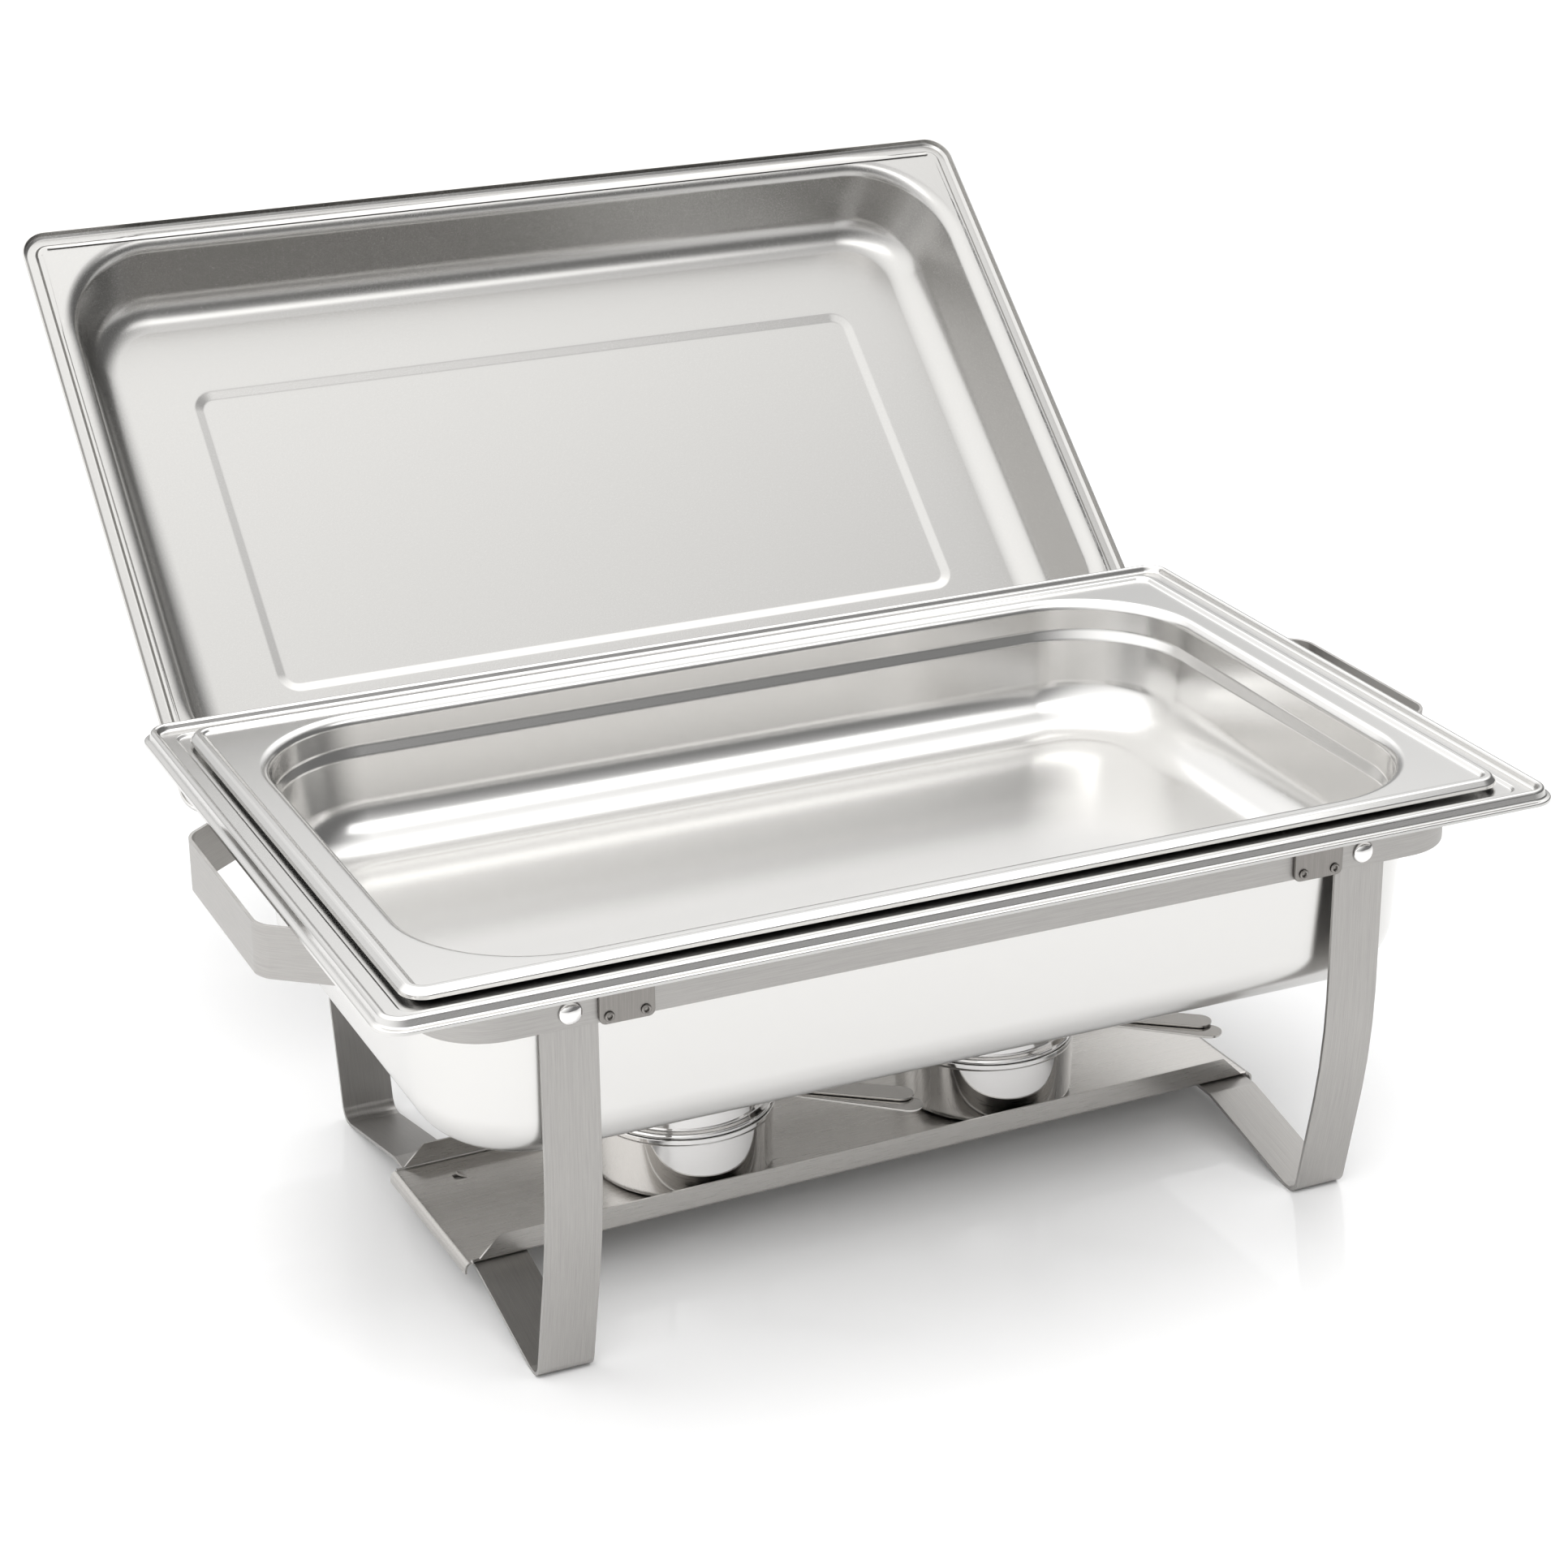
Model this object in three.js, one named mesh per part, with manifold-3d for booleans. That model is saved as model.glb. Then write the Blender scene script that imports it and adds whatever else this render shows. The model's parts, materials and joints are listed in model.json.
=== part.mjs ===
// Chafing dish food warmer: a folding strap frame that carries a deep water pan and a food pan, a fuel
// shelf with two covered fuel cups below them, and the lid propped open behind.
// Millimetres. +X runs along the dish, +Y to its back, +Z up. The feet stand on z = 0.
import * as THREE from 'three';
import { mergeVertices } from 'three/addons/utils/BufferGeometryUtils.js';
import Module from 'manifold-3d';

const wasm = await Module();
wasm.setup();

// Pans and lid. Half sizes are measured from the middle of the pan.
const SHEET = 0.8;
const RIM = { length: 283, width: 182, corner: 14, height: 208, lipDrop: 4.8 };
const WATER_WALL = { length: 246.5, width: 149, corner: 56, flange: 203.5, floor: 107 };
const FOOD_RIM = { length: 265, width: 162.5, corner: 11, height: 210 };
const FOOD_WALL = { length: 243, width: 145.5, corner: 58, floor: 143, ledgeDrop: 16, ledgeWidth: 4 };
const LID_RECESS = { length: 266, width: 168, corner: 52, depth: 46 };
const LID_EMBOSS = { length: 202, width: 96.5, corner: 6, height: 1.4 };
const LID_PLACE = { x: 36, y: 378.4, z: 250.5, lean: 41.2 };

// Strap frame
const STRAP = { thickness: 1.6, height: 25, bottom: 176.9, halfWidth: 156.1, halfLength: 251.5, corner: 31 };
const HANDLE = { reach: 295.5, halfGrip: 53, halfRoot: 88, gripBend: 12, rootBend: 10 };
const PLATE = { x: 168.4, width: 25, height: 26, thickness: 2, corner: 3, rivetX: 8.2, rivetZ: 9.3 };
const PLATE_RIVET = { radius: 1.5, bore: 1, head: 2.4, headHeight: 0.9, countersink: 0.7 };
const PIVOT = { x: 193, z: 184, radius: 3, head: 5.3, domeHeight: 2.6 };

// Folding legs: each is one band, bent to a foot at front and back and running under the shelf.
const LEG = { width: 26, thickness: 1.8, top: 197, bendHeight: 84, lean: 12.5, shelfHalf: 56, footEnd: 125.5 };
const LEG_BEND = { upper: 250, foot: 7, footInner: 6, shelf: 9 };

// Fuel shelf and fuel cups
const SHELF = { halfLength: 204, halfWidth: 49, thickness: 1, flange: 11, bend: 1.6, lip: 6.6, chamfer: 10.5 };
const SHELF_PLACE = { x: -1.6, y: -3.4, turn: 1.5 };
const CUP = { radius: 44.5, height: 32.5, wall: 0.8, bend: 4 };
const CUP_PLACES = [['left', -81, -2], ['right', 83.6, -0.3]];
const COVER = { collar: 40.5, collarHeight: 12, opening: 20 };
const TAB = { width: 13, thickness: 1.2, length: 118 };
const DAMPER = { disc: 25.5, pivot: 31, tab: 112, turn: 5.2 };
const TAB_ANGLE = -43;

const GAP = 0.3;
const BORE_GAP = 0.3;
const ARC_STEP = THREE.MathUtils.degToRad(11);

const STEEL = {
  satin: { color: 0xd6d4d0, roughness: 0.32, metalness: 1 },
  brushed: { color: 0xb8b5b0, roughness: 0.42, metalness: 1 },
  dark: { color: 0x8f8a85, roughness: 0.45, metalness: 1 },
  polished: { color: 0xdcdcdc, roughness: 0.12, metalness: 1 },
};

// ---- Solids -------------------------------------------------------------------------------------

// Merges shared vertices, drops the slivers at a revolve's poles and turns the faces outwards.
function solid(geometry) {
  const bare = new THREE.BufferGeometry();
  bare.setAttribute('position', geometry.getAttribute('position').clone());
  if (geometry.index) bare.setIndex(geometry.index.clone());
  const merged = mergeVertices(bare, 1e-4);
  const position = merged.getAttribute('position');
  const kept = [];
  let volume = 0;
  const [a, b, c] = [new THREE.Vector3(), new THREE.Vector3(), new THREE.Vector3()];
  for (let i = 0; i < merged.index.count; i += 3) {
    const [p, q, r] = [0, 1, 2].map((k) => merged.index.getX(i + k));
    if (p === q || q === r || r === p) continue;
    kept.push(p, q, r);
    a.fromBufferAttribute(position, p);
    b.fromBufferAttribute(position, q);
    c.fromBufferAttribute(position, r);
    volume += a.dot(b.cross(c));
  }
  if (volume < 0) kept.reverse();
  merged.setIndex(kept);
  return merged;
}

function toManifold(geometry) {
  const clean = solid(geometry);
  return new wasm.Manifold(new wasm.Mesh({
    numProp: 3,
    vertProperties: new Float32Array(clean.getAttribute('position').array),
    triVerts: new Uint32Array(clean.index.array),
  }));
}

function fromManifold(body) {
  const mesh = body.getMesh();
  const geometry = new THREE.BufferGeometry();
  geometry.setAttribute('position', new THREE.BufferAttribute(mesh.vertProperties, 3));
  geometry.setIndex(Array.from(mesh.triVerts));
  return geometry;
}

function cut(geometry, tools) {
  return fromManifold(tools.reduce((body, tool) => body.subtract(toManifold(tool)), toManifold(geometry)));
}

function join(geometries) {
  return fromManifold(geometries.map(toManifold).reduce((body, next) => body.add(next)));
}

function revolve(profile, segments) {
  const points = profile.map(([radius, height]) => new THREE.Vector2(radius, height));
  return solid(new THREE.LatheGeometry(points, segments));
}

function extrude(outline, depth) {
  const shape = outline instanceof THREE.Shape ? outline : new THREE.Shape(outline);
  return solid(new THREE.ExtrudeGeometry(shape, { depth, bevelEnabled: false, curveSegments: 5 }));
}

// Stands a flat outline up in the XZ plane; its depth then runs towards -Y.
function standFacingFront(geometry, y) {
  return geometry.rotateX(Math.PI / 2).translate(0, y, 0);
}

// Turns an outline drawn as (y, z) so that its depth runs along +X, starting at x.
function runAlongX(geometry, x) {
  const turn = new THREE.Matrix4().makeBasis(
    new THREE.Vector3(0, 1, 0), new THREE.Vector3(0, 0, 1), new THREE.Vector3(1, 0, 0));
  return geometry.applyMatrix4(turn).translate(x, 0, 0);
}

// ---- Bent strip ---------------------------------------------------------------------------------

// Outline of a strip that follows corners [u, v, bendRadius], bent about its middle line.
function stripOutline(corners, thickness) {
  const points = corners.map(([u, v]) => new THREE.Vector2(u, v));
  const sides = [[], []];
  const add = (point, normal) => {
    sides[0].push(point.clone().addScaledVector(normal, thickness / 2));
    sides[1].unshift(point.clone().addScaledVector(normal, -thickness / 2));
  };
  const directions = points.slice(1).map((point, i) => point.clone().sub(points[i]).normalize());
  const normalOf = (direction) => new THREE.Vector2(-direction.y, direction.x);
  add(points[0], normalOf(directions[0]));
  for (let i = 1; i < points.length - 1; i += 1) {
    const [before, after] = [directions[i - 1], directions[i]];
    const turn = Math.atan2(before.cross(after), before.dot(after));
    const radius = corners[i][2];
    const start = points[i].clone().addScaledVector(before, -radius * Math.tan(Math.abs(turn) / 2));
    const centre = start.clone().addScaledVector(normalOf(before), Math.sign(turn) * radius);
    const steps = Math.max(2, Math.ceil(Math.abs(turn) / ARC_STEP));
    for (let k = 0; k <= steps; k += 1) {
      const normal = normalOf(before).rotateAround(new THREE.Vector2(), (turn * k) / steps);
      add(centre.clone().addScaledVector(normal, -Math.sign(turn) * radius), normal);
    }
  }
  add(points.at(-1), normalOf(directions.at(-1)));
  return [...sides[0], ...sides[1]];
}

// ---- Pressed sheet ------------------------------------------------------------------------------

const CORNER_STEPS = 7;

// One level of a pressed pan: a rounded rectangle seen from above, counterclockwise.
function ringPoints({ length, width, corner, z }) {
  const points = [];
  for (let quadrant = 0; quadrant < 4; quadrant += 1) {
    const x = (quadrant === 0 || quadrant === 3 ? 1 : -1) * (length - corner);
    const y = (quadrant < 2 ? 1 : -1) * (width - corner);
    for (let k = 0; k <= CORNER_STEPS; k += 1) {
      const angle = (quadrant + k / CORNER_STEPS) * (Math.PI / 2);
      points.push(new THREE.Vector3(x + corner * Math.cos(angle), y + corner * Math.sin(angle), z));
    }
  }
  return points;
}

const mixRings = (a, b, t) => Object.fromEntries(
  ['length', 'width', 'corner', 'z'].map((key) => [key, a[key] + (b[key] - a[key]) * t]));

const ringDistance = (a, b) => Math.hypot(a.width - b.width, a.z - b.z);

// Rounds each level that has a bend: the value is how far before and after it the curve starts.
function roundSection(levels, steps = 3) {
  const section = [];
  levels.forEach((level, i) => {
    if (!level.bend) {
      section.push(level);
      return;
    }
    const from = mixRings(level, levels[i - 1], level.bend / ringDistance(level, levels[i - 1]));
    const to = mixRings(level, levels[i + 1], level.bend / ringDistance(level, levels[i + 1]));
    for (let k = 0; k <= steps; k += 1) {
      const t = k / steps;
      section.push(mixRings(mixRings(from, level, t), mixRings(level, to, t), t));
    }
  });
  return section;
}

// The back of the sheet: every level moved square to the section by the sheet's thickness.
function offsetSection(section, thickness) {
  const direction = (a, b) => new THREE.Vector2(b.width - a.width, b.z - a.z).normalize();
  return section.map((level, i) => {
    const before = i > 0 ? direction(section[i - 1], level) : direction(level, section[i + 1]);
    const after = i < section.length - 1 ? direction(level, section[i + 1]) : before;
    const middle = before.clone().add(after).normalize();
    const reach = thickness / Math.max(0.5, middle.dot(before));
    const outwards = middle.y * reach;
    return {
      length: level.length + outwards,
      width: level.width + outwards,
      corner: Math.max(0.4, level.corner + outwards),
      z: level.z - middle.x * reach,
    };
  });
}

// A pan from its section, listed from the middle of its floor out to the edge of its lip.
function pressedSheet(levels, thickness = SHEET) {
  const face = roundSection(levels);
  const rings = [...face, ...offsetSection(face, thickness).reverse()].map(ringPoints);
  const count = rings[0].length;
  const index = [];
  for (let ring = 0; ring < rings.length - 1; ring += 1) {
    for (let k = 0; k < count; k += 1) {
      const [a, b] = [ring * count + k, ring * count + ((k + 1) % count)];
      index.push(a, a + count, b + count, a, b + count, b);
    }
  }
  const last = (rings.length - 1) * count;
  for (let k = 1; k < count - 1; k += 1) {
    index.push(0, k, k + 1, last, last + k + 1, last + k);
  }
  const geometry = new THREE.BufferGeometry().setFromPoints(rings.flat());
  geometry.setIndex(index);
  return solid(geometry);
}

// Levels that lie at a set distance inside the edge of a rim
const inside = (rim, inset, z) => ({
  length: rim.length - inset, width: rim.width - inset, corner: Math.max(2, rim.corner - inset), z,
});

// ---- Pans and lid -------------------------------------------------------------------------------

function waterPan() {
  const { length, width, corner, flange, floor } = WATER_WALL;
  return pressedSheet([
    { length: length - 60, width: width - 60, corner: 20, z: floor },
    { length: length - 4, width: width - 7, corner: corner - 4, z: floor, bend: 24 },
    { length, width, corner, z: flange, bend: 4 },
    inside(RIM, 15.5, flange),
    inside(RIM, 14, flange + 1.3),
    inside(RIM, 7.5, flange + 1.3),
    inside(RIM, 6, RIM.height),
    inside(RIM, 3.6, RIM.height),
    inside(RIM, 2.8, RIM.height - RIM.lipDrop + 0.8),
    inside(RIM, 0.6, RIM.height - RIM.lipDrop + 0.4),
    inside(RIM, 0, RIM.height - RIM.lipDrop - 0.4),
  ]);
}

function foodPan() {
  const { length, width, corner, floor, ledgeDrop, ledgeWidth } = FOOD_WALL;
  const flange = FOOD_RIM.height - 1.8;
  const ledge = flange - ledgeDrop;
  return pressedSheet([
    { length: length - 60, width: width - 60, corner: 25, z: floor },
    { length: length - ledgeWidth - 6, width: width - ledgeWidth - 6, corner: corner - 8, z: floor, bend: 16 },
    { length: length - ledgeWidth, width: width - ledgeWidth, corner: corner - 4, z: ledge - 3, bend: 2 },
    { length: length - 0.6, width: width - 0.6, corner: corner - 0.6, z: ledge, bend: 2 },
    { length, width, corner, z: flange, bend: 4.5 },
    inside(FOOD_RIM, 7.6, flange),
    inside(FOOD_RIM, 6.4, FOOD_RIM.height),
    inside(FOOD_RIM, 2.4, FOOD_RIM.height),
    inside(FOOD_RIM, 0.6, FOOD_RIM.height - 1.4),
    inside(FOOD_RIM, 0, FOOD_RIM.height - 4),
  ]);
}

// Drawn open side up, with its flange at z = 0; the recess is the dome that closes over the food.
function lid() {
  const { length, width, corner, depth } = LID_RECESS;
  const panel = -depth;
  const emboss = (spread, z) => ({
    length: LID_EMBOSS.length + spread, width: LID_EMBOSS.width + spread, corner: LID_EMBOSS.corner + spread, z,
  });
  return pressedSheet([
    emboss(-3, panel + LID_EMBOSS.height),
    emboss(0, panel),
    { length: length - 14, width: width - 14, corner: corner - 10, z: panel, bend: 14 },
    { length, width, corner, z: 0, bend: 6 },
    inside(RIM, 8, 0),
    inside(RIM, 6.6, -2.2),
    inside(RIM, 2.2, -2.2),
    inside(RIM, 0.6, -1.2),
    inside(RIM, 0, 1.6),
  ]);
}

// ---- Strap frame --------------------------------------------------------------------------------

const strapLine = { x: STRAP.halfLength - STRAP.thickness / 2, y: STRAP.halfWidth - STRAP.thickness / 2 };

function boreAlongY(x, z, radius, y) {
  return new THREE.CylinderGeometry(radius, radius, 12, 12).translate(x, y, z);
}

// Straight bore with a countersink on the strap's inner side, where the rivet is flared flush
function rivetBores(x, z, side) {
  const { radius, head, countersink } = PLATE_RIVET;
  const [narrow, wide] = [radius + BORE_GAP, head + 2 * BORE_GAP];
  const inner = STRAP.halfWidth - STRAP.thickness;
  const cone = new THREE.CylinderGeometry(narrow, wide, countersink + BORE_GAP, 12);
  cone.translate(0, inner + (countersink - BORE_GAP) / 2, 0);
  if (side < 0) cone.rotateX(Math.PI);
  return [boreAlongY(x, z, narrow, side * STRAP.halfWidth), cone.translate(x, 0, z)];
}

function plateHoles() {
  const z = STRAP.bottom + STRAP.height / 2;
  return [[-1, -1], [1, -1], [1, 1], [-1, 1]].map(([sx, sz]) => [sx * PLATE.rivetX, z + sz * PLATE.rivetZ]);
}

// One end of the frame: along the front, round the corner, out and back as the handle, and mirrored.
function handleBand() {
  const { x, y } = strapLine;
  const grip = HANDLE.reach - STRAP.thickness / 2;
  const half = [
    [PLATE.x + GAP, y],
    [x, y, STRAP.corner],
    [x, HANDLE.halfRoot, HANDLE.rootBend],
    [grip, HANDLE.halfGrip, HANDLE.gripBend],
  ];
  const other = half.map(([u, v, bend]) => [u, -v, bend]).reverse();
  const band = extrude(stripOutline([...half, ...other], STRAP.thickness), STRAP.height);
  band.translate(0, 0, STRAP.bottom);
  const bores = [];
  for (const side of [-1, 1]) {
    const face = side * STRAP.halfWidth;
    bores.push(boreAlongY(PIVOT.x, PIVOT.z, PIVOT.radius + BORE_GAP, face));
    for (const [dx, z] of plateHoles()) {
      if (dx > 0) bores.push(...rivetBores(PLATE.x + dx, z, side));
    }
  }
  return cut(band, bores);
}

function sideRail() {
  const half = PLATE.x - GAP;
  const rail = new THREE.BoxGeometry(2 * half, STRAP.thickness, STRAP.height);
  rail.translate(0, -strapLine.y, STRAP.bottom + STRAP.height / 2);
  const bores = [];
  for (const side of [-1, 1]) {
    for (const [dx, z] of plateHoles()) {
      if (dx * side < 0) bores.push(...rivetBores(side * PLATE.x + dx, z, -1));
    }
  }
  return cut(rail, bores);
}

// Riveted over the joint between a handle band and a side rail
function jointPlate() {
  const [w, h, r] = [PLATE.width / 2, PLATE.height / 2, PLATE.corner];
  const shape = new THREE.Shape();
  shape.moveTo(-w + r, -h).lineTo(w - r, -h).absarc(w - r, -h + r, r, -Math.PI / 2, 0);
  shape.lineTo(w, h - r).absarc(w - r, h - r, r, 0, Math.PI / 2);
  shape.lineTo(-w + r, h).absarc(-w + r, h - r, r, Math.PI / 2, Math.PI);
  shape.lineTo(-w, -h + r).absarc(-w + r, -h + r, r, Math.PI, 1.5 * Math.PI);
  for (const [x, z] of plateHoles()) {
    const hole = new THREE.Path();
    hole.absarc(x, z - STRAP.bottom - STRAP.height / 2, PLATE_RIVET.radius + BORE_GAP, 0, 2 * Math.PI, true);
    shape.holes.push(hole);
  }
  const plate = extrude(shape, PLATE.thickness);
  return standFacingFront(plate, -STRAP.halfWidth - GAP).translate(0, 0, STRAP.bottom + STRAP.height / 2);
}

// Tubular rivet: a rolled head on the plate and a flush flare inside the strap, open through the middle
function plateRivet() {
  const { radius, bore, head, headHeight, countersink } = PLATE_RIVET;
  const front = -STRAP.halfWidth - GAP - PLATE.thickness - GAP;
  const back = -STRAP.halfWidth + STRAP.thickness;
  return revolve([
    [bore, front - headHeight * 0.4], [(bore + head) / 2, front - headHeight], [head, front - headHeight * 0.3],
    [head, front], [radius, front], [radius, back - countersink], [head, back], [bore, back],
    [bore, front - headHeight * 0.4],
  ], 10);
}

// Domed rivet that a leg swings on
function pivotRivet() {
  const { radius, head, domeHeight } = PIVOT;
  const face = -STRAP.halfWidth - GAP;
  const back = -STRAP.halfWidth + STRAP.thickness + GAP + LEG.thickness + GAP;
  const dome = [1, 0.8, 0.55, 0.28].map((t) => [head * t, face - domeHeight * Math.sqrt(1.05 - t * t)]);
  return revolve([
    [0, face - domeHeight * 1.02], ...dome.reverse(), [head, face], [radius, face], [radius, back],
    [head - 0.8, back], [head - 1.2, back + 0.9], [0, back + 0.9],
  ], 16);
}

// ---- Folding legs -------------------------------------------------------------------------------

function legBand() {
  const outer = STRAP.halfWidth - STRAP.thickness - GAP - LEG.thickness / 2;
  const slope = Math.tan(THREE.MathUtils.degToRad(LEG.lean));
  const floor = LEG.thickness / 2;
  const foot = outer - (LEG.bendHeight - floor) * slope;
  const shelf = floor + (LEG.footEnd - LEG.shelfHalf) * slope;
  const half = [
    [outer, LEG.top],
    [outer, LEG.bendHeight, LEG_BEND.upper],
    [foot, floor, LEG_BEND.foot],
    [LEG.footEnd, floor, LEG_BEND.footInner],
    [LEG.shelfHalf, shelf, LEG_BEND.shelf],
  ];
  const other = half.map(([y, z, bend]) => [-y, z, bend]).reverse();
  const band = extrude(stripOutline([...half, ...other], LEG.thickness), LEG.width);
  runAlongX(band, -LEG.width / 2);
  return cut(band, [-1, 1].map((side) => boreAlongY(0, PIVOT.z, PIVOT.radius + BORE_GAP, side * outer)));
}

const legTop = LEG.thickness
  + (LEG.footEnd - LEG.shelfHalf) * Math.tan(THREE.MathUtils.degToRad(LEG.lean));
const shelfTop = legTop + GAP + SHELF.thickness;

// ---- Fuel shelf ---------------------------------------------------------------------------------

// Sheet with turned-up long edges cut off at 45 degrees and a rounded lip turned down at each end
function fuelShelf() {
  const { halfLength, halfWidth, thickness, flange, bend, lip, chamfer } = SHELF;
  const [middle, side] = [shelfTop - thickness / 2, halfWidth - thickness / 2];
  const edge = shelfTop + flange;
  const tray = extrude(stripOutline([
    [-side, edge], [-side, middle, bend], [side, middle, bend], [side, edge],
  ], thickness), 2 * halfLength);
  runAlongX(tray, -halfLength);
  const wedges = [-1, 1].map((end) => {
    const corner = [[0, thickness * 0.6], [0, flange + 2], [-end * (chamfer + 1.4), flange + 2]];
    const wedge = extrude(corner.map(([x, z]) => new THREE.Vector2(x, z)), 4 * halfWidth);
    return standFacingFront(wedge, 2 * halfWidth).translate(end * (halfLength + 0.01), 0, shelfTop - thickness / 2);
  });
  const lips = [-1, 1].map((end) => {
    const outline = stripOutline([
      [end * (halfLength - 4), middle], [end * (halfLength + lip - 0.5), middle, 2],
      [end * (halfLength + lip - 0.5), middle - 5],
    ], thickness);
    return standFacingFront(extrude(outline, 2 * halfWidth - 6), halfWidth - 3);
  });
  const hook = new THREE.CylinderGeometry(3, 3, 8, 12).rotateX(Math.PI / 2);
  hook.translate(-halfLength + 21, halfWidth - 26, shelfTop);
  return cut(join([cut(tray, wedges), ...lips]), [hook]);
}

// ---- Fuel cups ----------------------------------------------------------------------------------

function revolveUp(profile, segments) {
  return revolve(profile, segments).rotateX(Math.PI / 2);
}

function fuelCup() {
  const { radius, height, wall, bend } = CUP;
  return revolveUp([
    [0, 0], [radius - bend, 0], [radius - bend * 0.3, bend * 0.3], [radius, bend], [radius, height],
    [radius - wall, height], [radius - wall, bend], [radius - bend, wall], [0, wall],
  ], 36);
}

const coverTop = CUP.height + GAP + COVER.collarHeight;

function tabShape(length, root) {
  const w = TAB.width / 2;
  const shape = new THREE.Shape();
  shape.moveTo(root, -w).lineTo(length - w, -w).absarc(length - w, 0, w, -Math.PI / 2, Math.PI / 2);
  shape.lineTo(root, w).closePath();
  return shape;
}

// Stepped ring that closes the cup, with a flat handle tab
function fuelCover() {
  const { collar, opening } = COVER;
  const [seat, top, wall] = [CUP.height + GAP, coverTop, CUP.wall];
  const ring = revolveUp([
    [CUP.radius, seat], [CUP.radius, seat + 1.6], [CUP.radius - 1, seat + 2.4], [collar, seat + 2.4],
    [collar, top - 1], [collar - 1, top], [opening, top], [opening, top - wall], [collar - 1.5, top - wall],
    [collar - wall, top - 2], [collar - wall, seat], [CUP.radius, seat],
  ], 36);
  const tab = extrude(tabShape(TAB.length, collar - 4), TAB.thickness).translate(0, 0, top - TAB.thickness);
  return join([ring, tab]);
}

// Disc over the cover's opening, turned by its own tab about a rivet in the cover's ring
function damper() {
  const disc = new THREE.CylinderGeometry(DAMPER.disc, DAMPER.disc, TAB.thickness, 36);
  disc.rotateX(Math.PI / 2).translate(0, 0, coverTop + GAP + TAB.thickness / 2);
  const tab = extrude(tabShape(DAMPER.tab, DAMPER.disc - 6), TAB.thickness).translate(0, 0, coverTop + GAP);
  const bore = new THREE.CylinderGeometry(1.6, 1.6, 8, 12).rotateX(Math.PI / 2);
  return cut(join([disc, tab]), [bore.translate(DAMPER.pivot, 0, coverTop)]);
}

function damperRivet() {
  const [low, high] = [coverTop + GAP / 2, coverTop + GAP + TAB.thickness + GAP];
  const rivet = revolveUp([
    [0, low], [1.3, low], [1.3, high], [3, high], [2.6, high + 0.9], [1.4, high + 1.4], [0, high + 1.5],
  ], 12);
  return rivet.translate(DAMPER.pivot, 0, 0);
}

// ---- Assembly -----------------------------------------------------------------------------------

const dish = new THREE.Group();

function place(parent, name, geometry, finish, { x = 0, y = 0, z = 0, turn = 0 } = {}) {
  const mesh = new THREE.Mesh(geometry, new THREE.MeshStandardMaterial(STEEL[finish]));
  mesh.name = name;
  mesh.position.set(x, y, z);
  mesh.rotation.z = turn;
  parent.add(mesh);
  return mesh;
}

const BACK = Math.PI;
const ENDS = [['left', -1], ['right', 1]];

function addPans() {
  place(dish, 'water_pan', waterPan(), 'satin');
  place(dish, 'food_pan', foodPan(), 'satin');
  const open = place(dish, 'lid', lid(), 'satin', LID_PLACE);
  open.rotation.x = THREE.MathUtils.degToRad(LID_PLACE.lean);
}

// Front pieces are drawn facing -Y, and a half turn about Z makes the rear ones.
function addFrame() {
  for (const [side, turn] of [['front', 0], ['rear', BACK]]) {
    place(dish, `side_rail_${side}`, sideRail(), 'brushed', { turn });
    for (const [end, sign] of ENDS) {
      const x = sign * PLATE.x;
      place(dish, `joint_plate_${side}_${end}`, jointPlate(), 'dark', { x, turn });
      plateHoles().forEach(([dx, z], i) => {
        const name = `plate_rivet_${side}_${end}_${i + 1}`;
        place(dish, name, plateRivet(), 'polished', { x: x + dx, z, turn });
      });
      place(dish, `pivot_rivet_${side}_${end}`, pivotRivet(), 'polished', { x: sign * PIVOT.x, z: PIVOT.z, turn });
    }
  }
  for (const [end, sign] of ENDS) {
    place(dish, `handle_band_${end}`, handleBand(), 'brushed', { turn: sign < 0 ? BACK : 0 });
    place(dish, `leg_band_${end}`, legBand(), 'brushed', { x: sign * PIVOT.x });
  }
}

// The shelf lies loose on the legs, a little askew, with the cups standing on it.
function addFuel() {
  const tray = new THREE.Group();
  tray.position.set(SHELF_PLACE.x, SHELF_PLACE.y, 0);
  tray.rotation.z = THREE.MathUtils.degToRad(SHELF_PLACE.turn);
  dish.add(tray);
  place(tray, 'fuel_shelf', fuelShelf(), 'brushed');
  for (const [end, x, y] of CUP_PLACES) {
    const burner = new THREE.Group();
    burner.position.set(x, y, shelfTop + GAP);
    burner.rotation.z = THREE.MathUtils.degToRad(TAB_ANGLE);
    place(burner, `fuel_cup_${end}`, fuelCup(), 'polished');
    place(burner, `fuel_cover_${end}`, fuelCover(), 'polished');
    const swing = new THREE.Group();
    swing.position.x = DAMPER.pivot;
    swing.rotation.z = THREE.MathUtils.degToRad(DAMPER.turn);
    place(swing, `damper_${end}`, damper(), 'polished', { x: -DAMPER.pivot });
    place(swing, `damper_rivet_${end}`, damperRivet(), 'polished', { x: -DAMPER.pivot });
    burner.add(swing);
    tray.add(burner);
  }
}

addPans();
addFrame();
addFuel();

// The origin is the middle of the footprint, on the surface that the feet stand on.
const model = new THREE.Group();
model.add(dish);
dish.updateMatrixWorld(true);
const box = new THREE.Box3().setFromObject(dish, true);
dish.position.set(-(box.min.x + box.max.x) / 2, -(box.min.y + box.max.y) / 2, -box.min.z);

export default model;
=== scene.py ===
import json
import math

import bmesh
import bpy
from bpy.props import FloatProperty, FloatVectorProperty, PointerProperty
from mathutils import Euler, Matrix, Vector


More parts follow.
